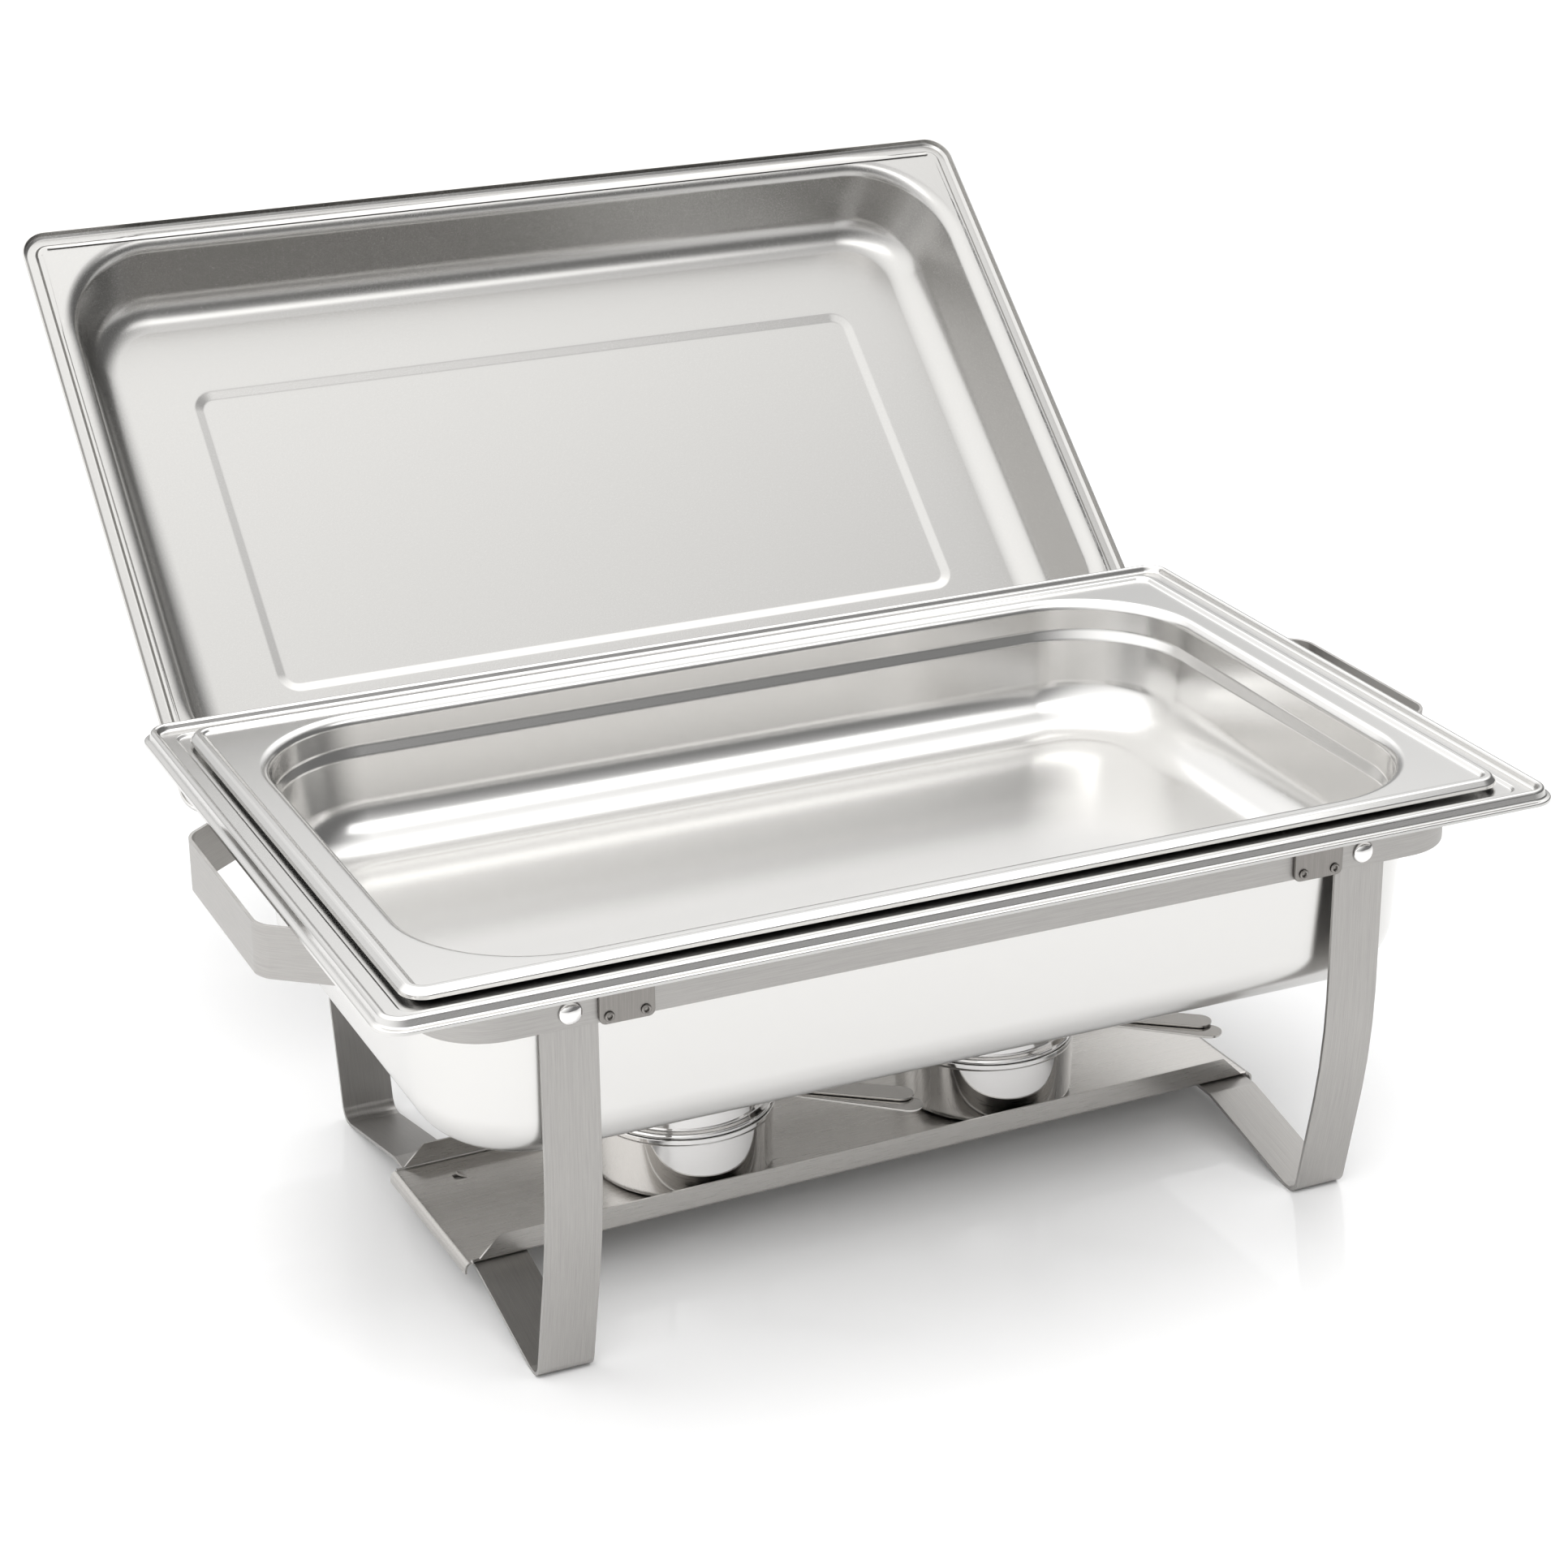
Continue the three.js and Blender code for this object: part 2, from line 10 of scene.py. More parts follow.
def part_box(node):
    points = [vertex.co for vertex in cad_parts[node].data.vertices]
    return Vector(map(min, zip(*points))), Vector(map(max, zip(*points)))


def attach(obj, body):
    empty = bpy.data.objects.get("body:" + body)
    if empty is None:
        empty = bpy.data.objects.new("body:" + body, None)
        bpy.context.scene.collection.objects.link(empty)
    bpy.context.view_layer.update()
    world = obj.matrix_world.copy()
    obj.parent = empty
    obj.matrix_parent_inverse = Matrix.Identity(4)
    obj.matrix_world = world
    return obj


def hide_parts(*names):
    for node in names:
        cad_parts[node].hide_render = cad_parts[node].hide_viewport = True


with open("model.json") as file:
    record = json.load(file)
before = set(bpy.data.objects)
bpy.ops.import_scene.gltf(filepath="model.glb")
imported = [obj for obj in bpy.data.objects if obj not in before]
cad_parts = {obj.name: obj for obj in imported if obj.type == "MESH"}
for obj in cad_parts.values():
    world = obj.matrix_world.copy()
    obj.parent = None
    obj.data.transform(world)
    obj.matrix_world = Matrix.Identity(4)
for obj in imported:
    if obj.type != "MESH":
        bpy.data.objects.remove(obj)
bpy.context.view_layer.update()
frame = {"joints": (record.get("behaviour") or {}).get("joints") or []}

bl_info = {
    "name": "Chafing Dish",
    "version": (1, 0, 0),
    "blender": (4, 5, 0),
    "location": "3D View > Sidebar > Chafing Dish",
    "description": "Builds a stainless steel chafing dish piece by piece round its packed frame",
    "category": "Add Mesh",
}

MM = 0.001
SIDES = (("front", -1), ("rear", 1))
ENDS = (("left", -1), ("right", 1))

SAME_PLACE = 1e-6                   # vertices closer than this are one
FLAT = 1e-7                         # a vertex this close to a cutting plane lies on it
BEND_STEP = math.radians(5)         # largest turn between two facets of a bend
CUT_ANGLE = math.radians(70)        # an edge sharper than this is a cut edge
CUT_ROUND = 0.00022                 # width of the rounding along a sheet's cut edges
SHADING_ANGLE = math.radians(50)    # an edge sharper than this is shaded sharp
RING_STEPS = 96                     # facets round a turned piece

# Half length and half width of the drawn shapes
WATER_WALL = (0.2465, 0.149)
FOOD_WALL = (0.2435, 0.146)
LID_WALL = (0.266, 0.168)
LID_EMBOSS = (0.2025, 0.0975)


# ---- Places read from the frame ------------------------------------------------------------------

def corners(*nodes):
    """Lowest and highest corner of several nodes together."""
    boxes = [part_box(node) for node in nodes]
    low = Vector([min(box[0][i] for box in boxes) for i in range(3)])
    high = Vector([max(box[1][i] for box in boxes) for i in range(3)])
    return low, high


RAILS_LOW, RAILS_HIGH = corners("side_rail_front", "side_rail_rear")
CENTRE = Vector(((RAILS_LOW.x + RAILS_HIGH.x) / 2, (RAILS_LOW.y + RAILS_HIGH.y) / 2, 0))


def half_size(node):
    low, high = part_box(node)
    return (Vector(high) - Vector(low)) / 2


def middle(node):
    low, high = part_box(node)
    return (Vector(high) + Vector(low)) / 2 - CENTRE


def level(node, top=True):
    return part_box(node)[1 if top else 0][2]


# ---- Mesh building -------------------------------------------------------------------------------

def draw_wire(bm, points):
    """A chain of edges through the points. Each is (x, y, z) or (x, y, z, radius of its bend)."""
    verts = [bm.verts.new(point[:3]) for point in points]
    for a, b in zip(verts, verts[1:]):
        bm.edges.new((a, b))
    places = [Vector(point[:3]) for point in points]
    for i in range(1, len(points) - 1):
        if len(points[i]) < 4 or not points[i][3]:
            continue
        turn = (places[i] - places[i - 1]).angle(places[i + 1] - places[i])
        segments = max(3, math.ceil(turn / BEND_STEP))
        bevel(bm, [verts[i]], points[i][3] * math.tan(turn / 2), segments, "VERTICES")
    return verts[0], verts[-1]


def bevel(bm, geom, offset, segments=3, affect="EDGES"):
    bmesh.ops.bevel(bm, geom=geom, offset=offset, offset_type="OFFSET", segments=segments,
                    profile=0.5, affect=affect, material=-1, clamp_overlap=True)


def extrude(bm, edges, way):
    """Draws edges out into faces and returns what is new at their far side."""
    made = bmesh.ops.extrude_edge_only(bm, edges=edges)["geom"]
    bmesh.ops.translate(bm, verts=[g for g in made if isinstance(g, bmesh.types.BMVert)], vec=way)
    return made


def area_up(bm):
    """Area seen from above, less the area seen from below."""
    return sum(face.normal.z * face.calc_area() for face in bm.faces)


def thicken(bm, thickness, centred=False):
    """Gives a sheet its thickness behind its faces, or half to each side, and rounds its edges."""
    bmesh.ops.remove_doubles(bm, verts=bm.verts, dist=SAME_PLACE)
    bmesh.ops.recalc_face_normals(bm, faces=bm.faces)
    bm.normal_update()
    if area_up(bm) < -1e-6:
        bmesh.ops.reverse_faces(bm, faces=bm.faces)
        bm.normal_update()
    if centred:
        for vert in bm.verts:
            vert.co += vert.normal * (thickness / 2)
    bmesh.ops.solidify(bm, geom=bm.faces[:], thickness=thickness)
    bm.normal_update()
    soften(bm, CUT_ROUND)


def soften(bm, width):
    """Rounds the cut edges of a closed piece."""
    bevel(bm, [e for e in bm.edges if e.calc_face_angle(0) > CUT_ANGLE], width, 2)


def revolve(profile, steps=RING_STEPS):
    """A solid of revolution about Z from a closed (radius, height, bend) profile."""
    bm = bmesh.new()
    draw_wire(bm, [(radius, 0, height, *bend) for radius, height, *bend in profile])
    bmesh.ops.spin(bm, geom=bm.verts[:] + bm.edges[:], cent=(0, 0, 0), axis=(0, 0, 1),
                   angle=2 * math.pi, steps=steps, use_merge=True, use_duplicate=False)
    bmesh.ops.remove_doubles(bm, verts=bm.verts, dist=SAME_PLACE)
    bmesh.ops.recalc_face_normals(bm, faces=bm.faces)
    return bm


def sweep_round(bm, section, length, width, corner, steps=18):
    """Carries a section once round a rounded rectangle of half size length by width.

    The section lists (inset, height, bend) from its inner to its outer edge. Returns both loops.
    """
    part = bmesh.new()
    end = part.verts.layers.int.new("end")
    cx, cy = length - corner, width - corner
    line = [(length - inset, cy, height, *bend) for inset, height, *bend in section]
    inner, outer = draw_wire(part, line)
    inner[end], outer[end] = 1, 2
    front = part.verts[:] + part.edges[:]
    for sx, sy, way in ((1, 1, (-2 * cx, 0, 0)), (-1, 1, (0, -2 * cy, 0)),
                        (-1, -1, (2 * cx, 0, 0)), (1, -1, (0, 2 * cy, 0))):
        turned = bmesh.ops.spin(part, geom=front, cent=(sx * cx, sy * cy, 0), axis=(0, 0, 1),
                                angle=math.pi / 2, steps=steps, use_duplicate=False)["geom_last"]
        made = extrude(part, [g for g in turned if isinstance(g, bmesh.types.BMEdge)], way)
        front = [g for g in made if not isinstance(g, bmesh.types.BMFace)]
    bmesh.ops.remove_doubles(part, verts=part.verts, dist=SAME_PLACE)
    bmesh.ops.recalc_face_normals(part, faces=part.faces)
    part.normal_update()
    if area_up(part) < 0:
        bmesh.ops.reverse_faces(part, faces=part.faces)
    return join_part(bm, part, end)


def join_part(bm, part, end):
    """Adds part to bm and returns the edges of its inner and its outer loop."""
    copies = {v: bm.verts.new(v.co) for v in part.verts}
    for face in part.faces:
        bm.faces.new([copies[v] for v in face.verts])
    loops = []
    for mark in (1, 2):
        marked = [e for e in part.edges
                  if len(e.link_faces) == 1 and all(v[end] == mark for v in e.verts)]
        loops.append([bm.edges.get([copies[v] for v in e.verts]) for e in marked])
    part.free()
    return loops


def close_floor(bm, loop):
    """Fills a pan's floor, with a narrow rim so that the flat part shades flat."""
    face = bmesh.ops.contextual_create(bm, geom=loop)["faces"][0]
    face.normal_update()
    if face.normal.z < 0:
        face.normal_flip()
    bmesh.ops.inset_region(bm, faces=[face], thickness=0.004, use_even_offset=True)


# ---- Finishing -----------------------------------------------------------------------------------

def finish(bm, name, body, slot, material, *nodes):
    """Turns a mesh in dish coordinates into a piece that stands for its CAD nodes."""
    bmesh.ops.translate(bm, verts=bm.verts, vec=CENTRE)
    mesh = bpy.data.meshes.new(name)
    bm.to_mesh(mesh)
    bm.free()
    mesh.shade_smooth()
    mesh.set_sharp_from_angle(angle=SHADING_ANGLE)
    piece = bpy.data.objects.new(name, mesh)
    bpy.context.scene.collection.objects.link(piece)
    mesh.materials.append(material)
    weighted = piece.modifiers.new("weighted normals", "WEIGHTED_NORMAL")
    weighted.keep_sharp = True
    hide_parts(*nodes)
    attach(piece, body)


# ---- Materials -----------------------------------------------------------------------------------

def grain_group():
    """Fine lines of a brushed or rolled sheet: a 0 to 1 mask and a height, from stretched noise."""
    group = bpy.data.node_groups.get("Steel Grain")
    if group:
        return group
    group = bpy.data.node_groups.new("Steel Grain", "ShaderNodeTree")
    group.interface.new_socket("Density", in_out="INPUT", socket_type="NodeSocketVector")
    for name in ("Mask", "Height"):
        group.interface.new_socket(name, in_out="OUTPUT", socket_type="NodeSocketFloat")
    nodes, link = group.nodes, group.links.new
    source, result = nodes.new("NodeGroupInput"), nodes.new("NodeGroupOutput")
    place = nodes.new("ShaderNodeTexCoord")
    scale = nodes.new("ShaderNodeVectorMath")
    scale.operation = "MULTIPLY"
    link(place.outputs["Object"], scale.inputs[0])
    link(source.outputs["Density"], scale.inputs[1])
    fine = nodes.new("ShaderNodeTexNoise")
    fine.inputs["Scale"].default_value = 1.0
    fine.inputs["Detail"].default_value = 4.0
    fine.inputs["Roughness"].default_value = 0.62
    link(scale.outputs[0], fine.inputs["Vector"])
    spread = nodes.new("ShaderNodeMapRange")
    spread.inputs["From Min"].default_value = 0.3
    spread.inputs["From Max"].default_value = 0.7
    link(fine.outputs["Fac"], spread.inputs["Value"])
    link(spread.outputs["Result"], result.inputs["Mask"])
    link(fine.outputs["Fac"], result.inputs["Height"])
    return group


def cloud_group():
    """Slow, faint unevenness of a pressed sheet, as a 0 to 1 mask."""
    group = bpy.data.node_groups.get("Sheet Cloud")
    if group:
        return group
    group = bpy.data.node_groups.new("Sheet Cloud", "ShaderNodeTree")
    group.interface.new_socket("Scale", in_out="INPUT", socket_type="NodeSocketFloat")
    group.interface.new_socket("Mask", in_out="OUTPUT", socket_type="NodeSocketFloat")
    nodes, link = group.nodes, group.links.new
    source, result = nodes.new("NodeGroupInput"), nodes.new("NodeGroupOutput")
    place = nodes.new("ShaderNodeTexCoord")
    noise = nodes.new("ShaderNodeTexNoise")
    noise.inputs["Detail"].default_value = 2.0
    link(place.outputs["Object"], noise.inputs["Vector"])
    link(source.outputs["Scale"], noise.inputs["Scale"])
    link(noise.outputs["Fac"], result.inputs["Mask"])
    return group


# Name of the material, colour in the sidebar, lines of the grain per metre along X, Y and Z, lowest
# and highest roughness, contrast of the grain and strength of its relief
FINISHES = {
    "pan": ("satin steel", "pan", (2600, 2600, 2600), (0.2, 0.26), 0.02, 0.02),
    "bowl": ("bright steel", "bowl", (2600, 2600, 2600), (0.17, 0.24), 0.015, 0.015),
    "lid": ("lid steel", "lid", (2400, 2400, 2400), (0.24, 0.31), 0.025, 0.02),
    "strap": ("strap steel", "strap", (60, 60, 3800), (0.4, 0.56), 0.12, 0.12),
    "leg": ("leg steel", "strap", (3800, 45, 45), (0.38, 0.54), 0.12, 0.12),
    "plate": ("plate steel", "plate", (3600, 3600, 60), (0.3, 0.46), 0.14, 0.12),
    "shelf": ("shelf steel", "shelf", (35, 3000, 3000), (0.25, 0.38), 0.07, 0.08),
    "cup": ("polished steel", "polished", (400, 400, 3000), (0.05, 0.11), 0.01, 0.01),
    "tab": ("tab steel", "shelf", (1500, 1500, 60), (0.16, 0.26), 0.04, 0.03),
}
CLOUDS_PER_METRE = 9.0
GRAIN_WEIGHT, CLOUD_WEIGHT = 0.5, 0.12      # how much each mask moves the roughness
GRAIN_DEPTH = 0.0002


def steel(key):
    """The stainless steel of one finish, made the first time that it is asked for."""
    name, swatch, density, roughness, contrast, bump = FINISHES[key]
    material = bpy.data.materials.get(name)
    if material:
        return material
    color = getattr(bpy.context.scene.chafing_finish, swatch)
    material = bpy.data.materials.new(name)
    material.use_nodes = True
    nodes, link = material.node_tree.nodes, material.node_tree.links.new
    shader = nodes["Principled BSDF"]
    shader.inputs["Metallic"].default_value = 1.0
    grain = nodes.new("ShaderNodeGroup")
    grain.node_tree = grain_group()
    grain.inputs["Density"].default_value = density
    patches = nodes.new("ShaderNodeGroup")
    patches.node_tree = cloud_group()
    patches.inputs["Scale"].default_value = CLOUDS_PER_METRE
    tint = nodes.new("ShaderNodeMix")
    tint.data_type = "RGBA"
    dark = [c * (1 - contrast) for c in color]
    bright = [min(1.0, c * (1 + contrast)) for c in color]
    tint.inputs[6].default_value = (*dark, 1)
    tint.inputs[7].default_value = (*bright, 1)
    link(grain.outputs["Mask"], tint.inputs["Factor"])
    link(tint.outputs[2], shader.inputs["Base Color"])
    rough = nodes.new("ShaderNodeMapRange")
    rough.inputs["To Min"].default_value = roughness[0]
    rough.inputs["To Max"].default_value = roughness[1]
    grained, clouded = nodes.new("ShaderNodeMath"), nodes.new("ShaderNodeMath")
    grained.operation, clouded.operation = "MULTIPLY_ADD", "MULTIPLY"
    grained.inputs[1].default_value = GRAIN_WEIGHT
    clouded.inputs[1].default_value = CLOUD_WEIGHT
    link(patches.outputs["Mask"], clouded.inputs[0])
    link(grain.outputs["Mask"], grained.inputs[0])
    link(clouded.outputs[0], grained.inputs[2])
    link(grained.outputs[0], rough.inputs["Value"])
    link(rough.outputs["Result"], shader.inputs["Roughness"])
    relief = nodes.new("ShaderNodeBump")
    relief.inputs["Strength"].default_value = bump
    relief.inputs["Distance"].default_value = GRAIN_DEPTH
    link(grain.outputs["Height"], relief.inputs["Height"])
    link(relief.outputs["Normal"], shader.inputs["Normal"])
    return material


# ---- Sizes ---------------------------------------------------------------------------------------

def length_prop(name, description, default):
    return FloatProperty(name=name, description=description, default=default, unit="LENGTH",
                         precision=5)


def color_prop(name, description, default):
    return FloatVectorProperty(name=name, description=description, default=default,
                               subtype="COLOR", size=3, min=0.0, max=1.0)


class ChafingPans(bpy.types.PropertyGroup):
    sheet: length_prop("Sheet", "Thickness of the pressed sheet", 0.8 * MM)
    rim_corner: length_prop("Rim corner", "Corner radius of the lip of the water pan and the lid",
                            14 * MM)
    water_corner: length_prop("Water pan corner", "Corner radius of the water pan's wall", 56 * MM)
    food_corner: length_prop("Food pan corner", "Corner radius of the food pan's opening", 60 * MM)
    lid_corner: length_prop("Lid corner", "Corner radius of the lid's recess", 54 * MM)
    lid_lean: FloatProperty(name="Lid lean", description="How far the open lid leans back",
                            default=math.radians(41.2), subtype="ANGLE")


class ChafingStraps(bpy.types.PropertyGroup):
    thickness: length_prop("Strap", "Thickness of the frame's strap", 1.6 * MM)
    leg_thickness: length_prop("Leg", "Thickness of the leg bands", 1.8 * MM)
    ring_corner: length_prop("Ring corner", "Radius of the frame's corners", 31 * MM)
    grip_bend: length_prop("Grip bend", "Bend radius at the ends of the handle", 12 * MM)
    plate_corner: length_prop("Plate corner", "Corner radius of the joint plates", 3 * MM)


class ChafingShelf(bpy.types.PropertyGroup):
    length: length_prop("Length", "Length over the end lips", 421.2 * MM)
    width: length_prop("Width", "Width over the turned-up edges", 98 * MM)
    sheet: length_prop("Sheet", "Thickness of the sheet", 1 * MM)
    flange: length_prop("Flange", "Height of the turned-up edges", 11 * MM)
    turn: FloatProperty(name="Turn", description="How far the loose shelf lies askew on the legs",
                        default=math.radians(1.5), subtype="ANGLE")


class ChafingFinish(bpy.types.PropertyGroup):
    pan: color_prop("Water pan", "Satin sheet of the water pan", (0.63, 0.623, 0.61))
    bowl: color_prop("Food pan", "Bright inside of the food pan", (0.67, 0.663, 0.65))
    lid: color_prop("Lid", "Satin sheet of the lid", (0.48, 0.473, 0.46))
    strap: color_prop("Straps", "Brushed strap", (0.40, 0.389, 0.376))
    plate: color_prop("Plates", "Joint plates", (0.25, 0.238, 0.225))
    shelf: color_prop("Shelf", "Brushed shelf sheet", (0.50, 0.485, 0.465))
    polished: color_prop("Polished", "Polished cups and rivets", (0.80, 0.79, 0.78))


# ---- Pans ----------------------------------------------------------------------------------------

class CHAFING_OT_water_pan(bpy.types.Operator):
    """Deep pan with a stepped flange, a raised ridge and a lip turned down"""
    bl_idname = "chafing.water_pan"
    bl_label = "Water Pan"

    def execute(self, context):
        size = context.scene.chafing_pans
        half = half_size("water_pan")
        low, high = level("water_pan", False), level("water_pan")
        flange = high - 4.5 * MM
        border = flange + 0.0013
        step_inset, step_corner = 0.014, 0.007
        bm = bmesh.new()
        floor, wall = sweep_round(bm, [
            (0.036, low + size.sheet), (0.005, low + size.sheet, 0.025), (0, flange, 0.004),
            (-0.005, flange),
        ], *WATER_WALL, size.water_corner)
        step_in, step_out = sweep_round(bm, [
            (0.0016, flange), (0.0012, flange, 0.0006), (0, border, 0.0006), (-0.0012, border),
        ], half.x - step_inset, half.y - step_inset, step_corner)
        rim_in, _ = sweep_round(bm, [
            (0.0095, border), (0.0075, border, 0.0014), (0.0062, high, 0.0014),
            (0.0036, high, 0.0016), (0.0026, high - 0.0042, 0.0012),
            (0.0002, high - 0.0046, 0.0007), (0, high - 0.0062),
        ], half.x, half.y, size.rim_corner)
        bmesh.ops.bridge_loops(bm, edges=wall + step_in)
        bmesh.ops.bridge_loops(bm, edges=step_out + rim_in)
        close_floor(bm, floor)
        thicken(bm, size.sheet)
        finish(bm, "water_pan_sheet", "water_pan", "pan_steel", steel("pan"), "water_pan")
        return {"FINISHED"}


class CHAFING_OT_food_pan(bpy.types.Operator):
    """Food pan with a stacking ledge in its wall and a raised border"""
    bl_idname = "chafing.food_pan"
    bl_label = "Food Pan"

    def execute(self, context):
        size = context.scene.chafing_pans
        half = half_size("food_pan")
        low, high = level("food_pan", False), level("food_pan")
        flange = high - 1.8 * MM
        ledge = flange - 15 * MM
        rim_corner = 0.0115
        bm = bmesh.new()
        floor, wall = sweep_round(bm, [
            (0.040, low + size.sheet), (0.0075, low + size.sheet, 0.027),
            (0.0028, ledge - 0.005, 0.006), (0.0008, ledge, 0.006), (0, flange, 0.005),
            (-0.006, flange),
        ], *FOOD_WALL, size.food_corner)
        rim_in, _ = sweep_round(bm, [
            (0.009, flange), (0.0072, flange, 0.0016), (0.0058, high, 0.0016),
            (0.0026, high, 0.0018), (0.0004, high - 0.0024, 0.0012), (0, high - 0.0042),
        ], half.x, half.y, rim_corner)
        bmesh.ops.bridge_loops(bm, edges=wall + rim_in)
        close_floor(bm, floor)
        thicken(bm, size.sheet)
        finish(bm, "food_pan_sheet", "food_pan", "pan_steel", steel("bowl"), "food_pan")
        return {"FINISHED"}


class CHAFING_OT_lid(bpy.types.Operator):
    """Drawn cover, leaning back to show its inside, with a rectangle embossed in its panel"""
    bl_idname = "chafing.lid"
    bl_label = "Lid"

    def execute(self, context):
        size = context.scene.chafing_pans
        half = half_size("water_pan")
        edge, depth, groove, emboss = 0.0016, 0.046, 0.0022, 0.0014
        bm = bmesh.new()
        panel, wall = sweep_round(bm, [
            (0.036, -depth), (0.014, -depth, 0.019), (0, 0, 0.009), (-0.008, 0),
        ], *LID_WALL, size.lid_corner, steps=24)
        rim_in, _ = sweep_round(bm, [
            (0.0105, 0), (0.0078, 0, 0.0012), (0.0066, -groove, 0.0012),
            (0.0022, -groove, 0.001), (0.0006, -0.0012, 0.0006), (0, edge),
        ], half.x, half.y, size.rim_corner)
        bmesh.ops.bridge_loops(bm, edges=wall + rim_in)
        out_in, out = sweep_round(bm, [
            (0.008, -emboss - depth), (0.005, -emboss - depth, 0.004), (0, -depth, 0.004),
            (-0.003, -depth),
        ], *LID_EMBOSS, 0.012)
        bmesh.ops.bridge_loops(bm, edges=panel + out)
        close_floor(bm, out_in)
        thicken(bm, size.sheet)
        low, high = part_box("lid")
        lean = Matrix.Rotation(size.lid_lean, 4, "X")
        back, front = lean @ Vector((0, half.y, edge)), lean @ Vector((0, -half.y, edge))
        place = Vector(((low[0] + high[0]) / 2, low[1] - front.y, high[2] - back.z)) - CENTRE
        bmesh.ops.transform(bm, matrix=Matrix.Translation(place) @ lean, verts=bm.verts)
        finish(bm, "lid_sheet", "lid", "pan_steel", steel("lid"), "lid")
        return {"FINISHED"}


# ---- Strap frame ---------------------------------------------------------------------------------

class CHAFING_OT_straps(bpy.types.Operator):
    """Side rails and handle bands of the frame"""
    bl_idname = "chafing.straps"
    bl_label = "Straps"

    def execute(self, context):
        size = context.scene.chafing_straps
        low, high = level("side_rail_front", False), level("side_rail_front")
        y = (RAILS_HIGH.y - RAILS_LOW.y) / 2 - size.thickness / 2
        joint = (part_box("handle_band_right")[0][0] + RAILS_HIGH.x) / 2 - CENTRE.x
        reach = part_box("handle_band_right")[1][0] - CENTRE.x - size.thickness / 2
        gap = 0.0003
        end_x, root, root_bend, grip = 0.2507, 0.088, 0.01, 0.053
        for side, sign in SIDES:
            points = [(way * (joint - gap), sign * y, low) for way in (-1, 1)]
            self.band(f"side_rail_{side}", points, high - low, size)
        for name, sign in ENDS:
            half = [(joint + gap, y), (end_x, y, size.ring_corner), (end_x, root, root_bend),
                    (reach, grip, size.grip_bend)]
            line = half + [(x, -v, *bend) for x, v, *bend in reversed(half)]
            points = [(sign * x, v, low, *bend) for x, v, *bend in line]
            self.band(f"handle_band_{name}", points, high - low, size)
        return {"FINISHED"}

    def band(self, node, points, height, size):
        bm = bmesh.new()
        draw_wire(bm, points)
        extrude(bm, bm.edges[:], (0, 0, height))
        thicken(bm, size.thickness, centred=True)
        finish(bm, f"{node}_strap", "frame", "strap_steel", steel("strap"), node)


class CHAFING_OT_joint_plates(bpy.types.Operator):
    """Plates riveted over the joints of the straps"""
    bl_idname = "chafing.joint_plates"
    bl_label = "Joint Plates"

    def execute(self, context):
        size = context.scene.chafing_straps
        upright = Matrix.Rotation(math.pi / 2, 3, "X")
        for side, _ in SIDES:
            for end, _ in ENDS:
                node = f"joint_plate_{side}_{end}"
                half, place = half_size(node), middle(node)
                bm = bmesh.new()
                bmesh.ops.create_grid(bm, x_segments=1, y_segments=1, size=1)
                bmesh.ops.scale(bm, vec=(half.x, half.z, 1), verts=bm.verts)
                bevel(bm, bm.verts[:], size.plate_corner, 8, "VERTICES")
                bmesh.ops.solidify(bm, geom=bm.faces[:], thickness=2 * half.y)
                soften(bm, 0.00045)
                bmesh.ops.translate(bm, vec=(0, 0, half.y), verts=bm.verts)
                bmesh.ops.rotate(bm, cent=(0, 0, 0), matrix=upright, verts=bm.verts)
                bmesh.ops.translate(bm, vec=place, verts=bm.verts)
                finish(bm, f"{node}_sheet", "frame", "plate_steel", steel("plate"), node)
        return {"FINISHED"}


class CHAFING_OT_rivets(bpy.types.Operator):
    """Tubular rivets in the plates and domed rivets at the leg pivots"""
    bl_idname = "chafing.rivets"
    bl_label = "Rivets"

    def execute(self, context):
        for side, sign in SIDES:
            for end, _ in ENDS:
                for index in range(1, 5):
                    self.rivet(f"plate_rivet_{side}_{end}_{index}", self.tubular, sign, "plate")
                self.rivet(f"pivot_rivet_{side}_{end}", self.domed, sign, "cup")
        return {"FINISHED"}

    def tubular(self, half):
        head, deep, bore = half.x, 2 * half.y, 0.0022
        return revolve([
            (0, -bore), (head * 0.42, -bore), (head * 0.46, -0.0004, 0.0004),
            (head * 0.72, 0, 0.0004), (head, -0.0004, 0.0003), (head, -0.0009),
            (head * 0.64, -0.0011), (head * 0.64, -deep), (0, -deep),
        ], 40)

    def domed(self, half):
        head, deep, height, shank = half.x, 2 * half.y, 0.0026, 0.003
        return revolve([
            (0, 0), (head * 0.55, -height * 0.12, 0.006), (head * 0.97, -height * 0.72, 0.0016),
            (head, -height), (shank, -height - 0.00005), (shank, 0.0012 - deep),
            (head * 0.78, 0.0011 - deep), (head * 0.7, -deep, 0.0004), (0, -deep),
        ], 64)

    def rivet(self, node, shape, sign, material):
        half, place = half_size(node), middle(node)
        bm = shape(half)
        outward = Matrix.Rotation(-sign * math.pi / 2, 3, "X")
        bmesh.ops.rotate(bm, cent=(0, 0, 0), matrix=outward, verts=bm.verts)
        bmesh.ops.translate(bm, vec=(place.x, place.y + sign * half.y, place.z), verts=bm.verts)
        finish(bm, f"{node}_head", "frame", "rivet_steel", steel(material), node)


